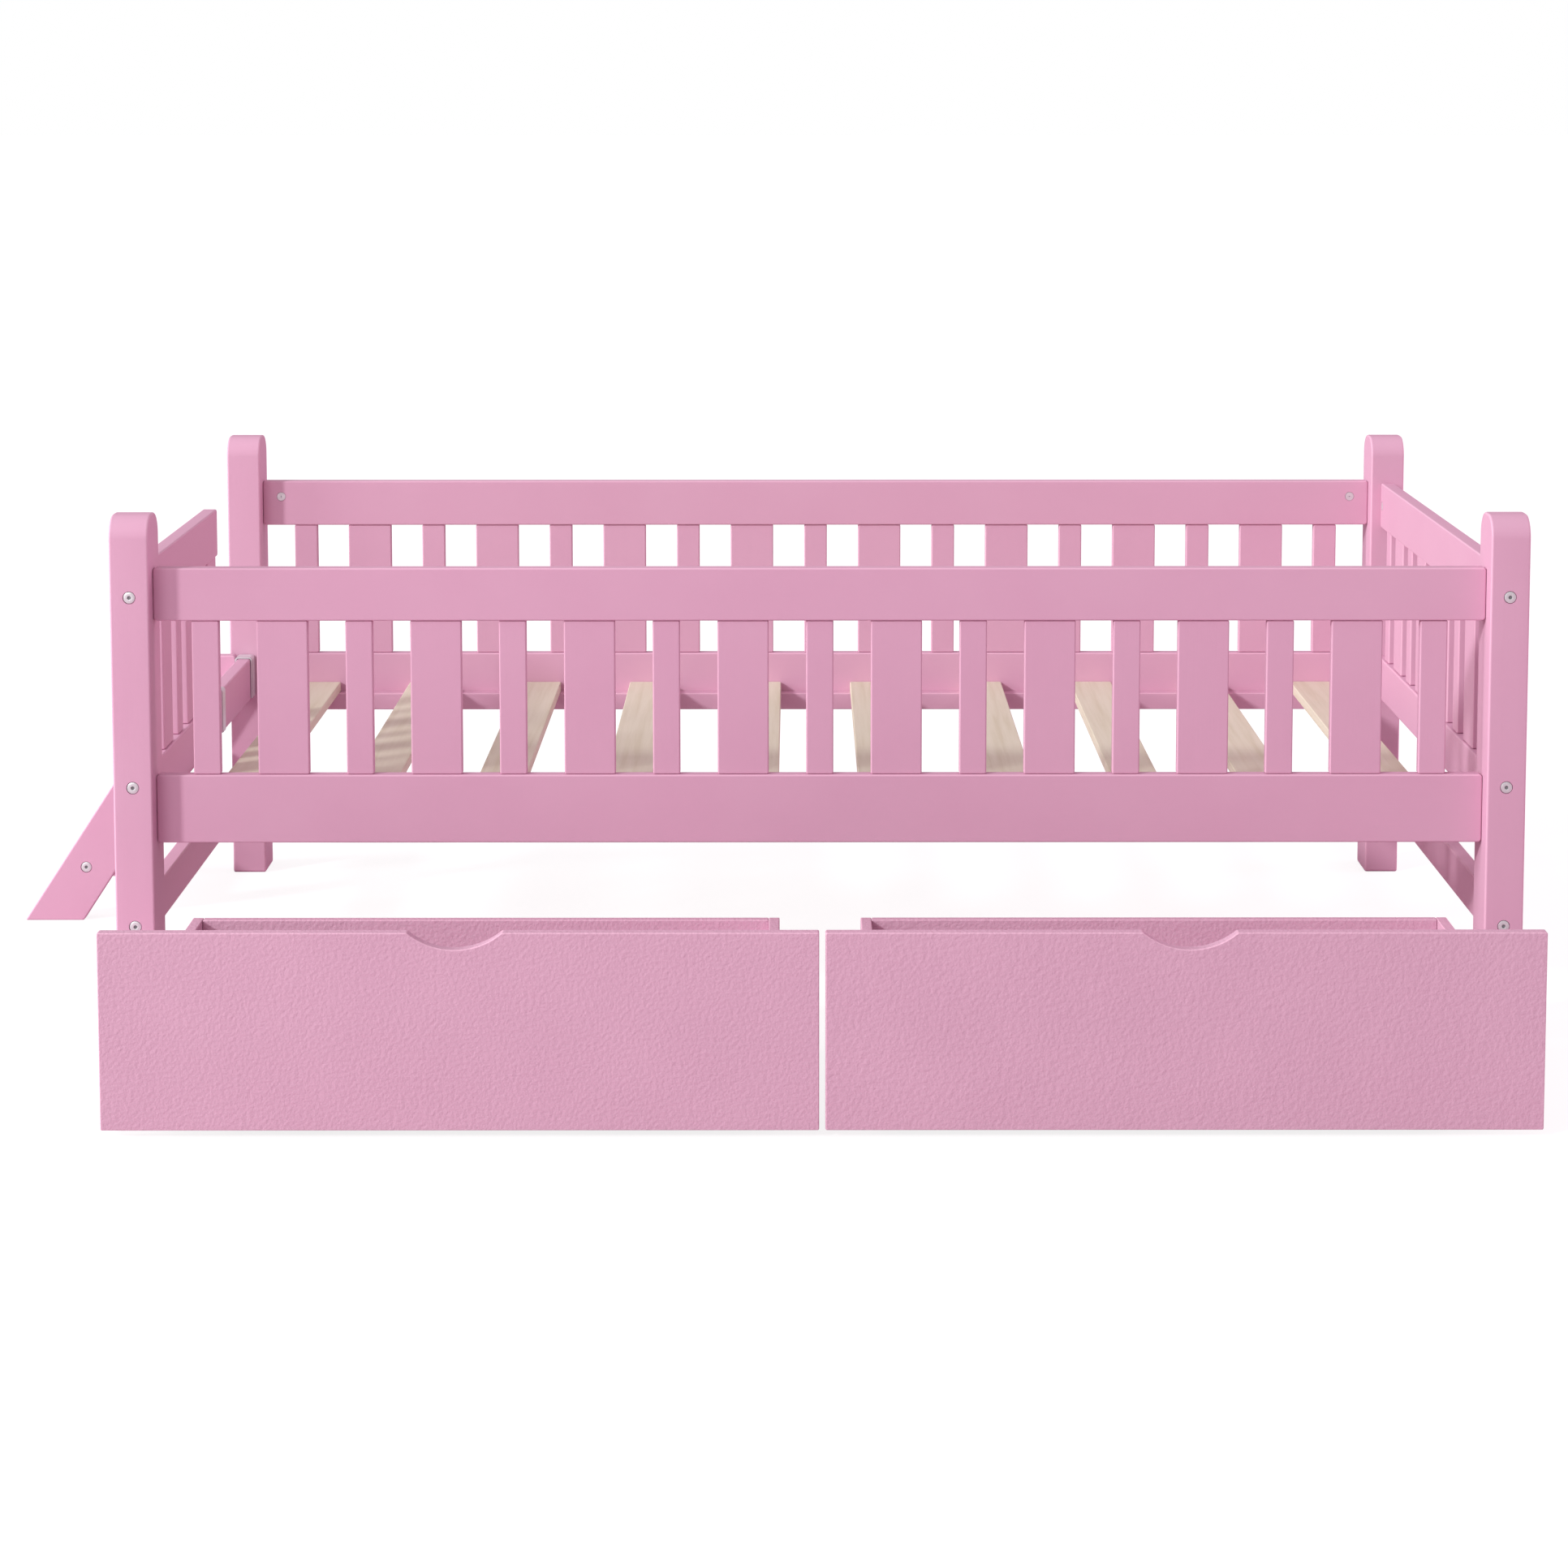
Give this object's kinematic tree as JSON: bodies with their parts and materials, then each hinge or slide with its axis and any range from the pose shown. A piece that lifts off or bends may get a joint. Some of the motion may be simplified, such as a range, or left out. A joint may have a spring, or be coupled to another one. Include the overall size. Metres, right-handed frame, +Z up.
{
  "type": "toddler bed",
  "caption": "Low single bed with slatted guards all round, an entry gap with a hook-on ladder at an end, and rolling drawers beneath.",
  "frame": {"origin": "on the floor, in the middle of the whole object's footprint with the ladder on and the drawers rolled out", "axes": "+Z up, +X along the bed from the ladder end, +Y from the drawers to the back of the bed"},
  "size_m": [2.267, 1.5638, 0.745],
  "materials": {
    "frame_paint": "satin pink paint over solid wood, eased edges",
    "drawer_paint": "pink paint over board with a fine pebbled texture",
    "pale_wood": "planed unpainted pine",
    "bright_steel": "bright zinc plate",
    "castor_tyre": "matt"
  },
  "bodies": {
    "frame": {"back_guard": "frame_paint", "back_ledger": "frame_paint", "back_left_post": "frame_paint", "back_right_post": "frame_paint", "back_side_rail": "frame_paint", "base_slat_01": "pale_wood", "base_slat_02": "pale_wood", "base_slat_03": "pale_wood", "base_slat_04": "pale_wood", "base_slat_05": "pale_wood", "base_slat_06": "pale_wood", "base_slat_07": "pale_wood", "base_slat_08": "pale_wood", "base_slat_09": "pale_wood", "base_slat_10": "pale_wood", "front_guard": "frame_paint", "front_ledger": "frame_paint", "front_left_post": "frame_paint", "front_right_post": "frame_paint", "front_side_rail": "frame_paint", "left_end_rail": "frame_paint", "left_guard": "frame_paint", "left_stretcher": "frame_paint", "right_end_rail": "frame_paint", "right_guard": "frame_paint", "right_stretcher": "frame_paint"},
    "left_drawer": {"left_drawer_back": "drawer_paint", "left_drawer_back_left_fork": "bright_steel", "left_drawer_back_right_fork": "bright_steel", "left_drawer_bottom": "drawer_paint", "left_drawer_front": "drawer_paint", "left_drawer_front_left_fork": "bright_steel", "left_drawer_front_right_fork": "bright_steel", "left_drawer_left_side": "drawer_paint", "left_drawer_right_side": "drawer_paint"},
    "right_drawer": {"right_drawer_back": "drawer_paint", "right_drawer_back_left_fork": "bright_steel", "right_drawer_back_right_fork": "bright_steel", "right_drawer_bottom": "drawer_paint", "right_drawer_front": "drawer_paint", "right_drawer_front_left_fork": "bright_steel", "right_drawer_front_right_fork": "bright_steel", "right_drawer_left_side": "drawer_paint", "right_drawer_right_side": "drawer_paint"},
    "ladder": {"ladder_back_hook": "bright_steel", "ladder_back_stile": "frame_paint", "ladder_front_hook": "bright_steel", "ladder_front_stile": "frame_paint", "ladder_lower_tread": "frame_paint", "ladder_upper_tread": "frame_paint"},
    "left_drawer_back_left_wheel": {"left_drawer_back_left_wheel": "castor_tyre"},
    "left_drawer_back_right_wheel": {"left_drawer_back_right_wheel": "castor_tyre"},
    "left_drawer_front_left_wheel": {"left_drawer_front_left_wheel": "castor_tyre"},
    "left_drawer_front_right_wheel": {"left_drawer_front_right_wheel": "castor_tyre"},
    "right_drawer_back_left_wheel": {"right_drawer_back_left_wheel": "castor_tyre"},
    "right_drawer_back_right_wheel": {"right_drawer_back_right_wheel": "castor_tyre"},
    "right_drawer_front_left_wheel": {"right_drawer_front_left_wheel": "castor_tyre"},
    "right_drawer_front_right_wheel": {"right_drawer_front_right_wheel": "castor_tyre"}
  },
  "joints": [
    {"name": "left_drawer_slide", "type": "slide", "parent": "frame", "child": "left_drawer", "axis": [0, 1, 0], "range_m": [0, 0.4878]},
    {"name": "right_drawer_slide", "type": "slide", "parent": "frame", "child": "right_drawer", "axis": [0, 1, 0], "range_m": [0, 0.4878]},
    {"name": "ladder_lift", "type": "slide", "parent": "frame", "child": "ladder", "axis": [0, 0, 1], "range_m": [0, 0.15]},
    {"name": "left_drawer_back_left_roll", "type": "hinge", "parent": "left_drawer", "child": "left_drawer_back_left_wheel", "pos_m": [-0.69196, -0.4119, 0.018], "axis": [-1, 0, 0], "continuous": true},
    {"name": "left_drawer_back_right_roll", "type": "hinge", "parent": "left_drawer", "child": "left_drawer_back_right_wheel", "pos_m": [0.04254, -0.4119, 0.018], "axis": [-1, 0, 0], "continuous": true},
    {"name": "left_drawer_front_left_roll", "type": "hinge", "parent": "left_drawer", "child": "left_drawer_front_left_wheel", "pos_m": [-0.69196, -0.7216, 0.018], "axis": [-1, 0, 0], "continuous": true},
    {"name": "left_drawer_front_right_roll", "type": "hinge", "parent": "left_drawer", "child": "left_drawer_front_right_wheel", "pos_m": [0.04254, -0.7216, 0.018], "axis": [-1, 0, 0], "continuous": true},
    {"name": "right_drawer_back_left_roll", "type": "hinge", "parent": "right_drawer", "child": "right_drawer_back_left_wheel", "pos_m": [0.23954, -0.4119, 0.018], "axis": [-1, 0, 0], "continuous": true},
    {"name": "right_drawer_back_right_roll", "type": "hinge", "parent": "right_drawer", "child": "right_drawer_back_right_wheel", "pos_m": [0.97404, -0.4119, 0.018], "axis": [-1, 0, 0], "continuous": true},
    {"name": "right_drawer_front_left_roll", "type": "hinge", "parent": "right_drawer", "child": "right_drawer_front_left_wheel", "pos_m": [0.23954, -0.7216, 0.018], "axis": [-1, 0, 0], "continuous": true},
    {"name": "right_drawer_front_right_roll", "type": "hinge", "parent": "right_drawer", "child": "right_drawer_front_right_wheel", "pos_m": [0.97404, -0.7216, 0.018], "axis": [-1, 0, 0], "continuous": true}
  ]
}
